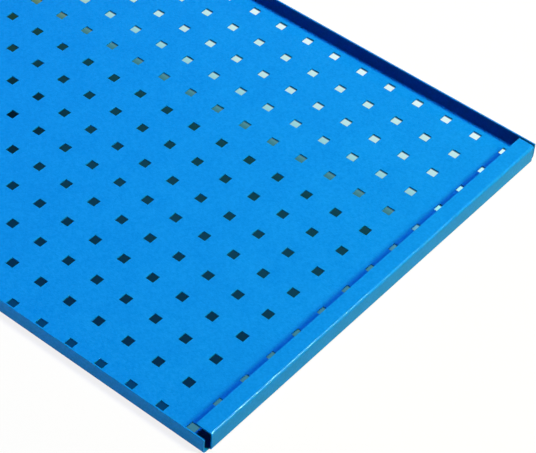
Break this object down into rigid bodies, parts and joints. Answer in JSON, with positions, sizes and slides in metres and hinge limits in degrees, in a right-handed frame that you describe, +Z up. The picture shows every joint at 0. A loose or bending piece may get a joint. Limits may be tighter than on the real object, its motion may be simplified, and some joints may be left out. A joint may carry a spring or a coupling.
{
  "type": "perforated sheet metal panel",
  "caption": "Folded steel panel with square holes on a square grid, plain upturned long edges and short ends turned in as lipped channels; hangs tools or lines a bench or cabinet.",
  "frame": {"origin": "middle of the sheet's flat underside", "axes": "+X along the panel, toward one lipped end; +Y across it, toward one long edge; +Z up, the way the edges stand"},
  "size_m": [1.0464, 0.525, 0.023],
  "materials": {
    "blue_powder_coat": "satin powder coat with a fine grain"
  },
  "bodies": {
    "root": {"perforated_sheet": "blue_powder_coat"}
  },
  "joints": []
}
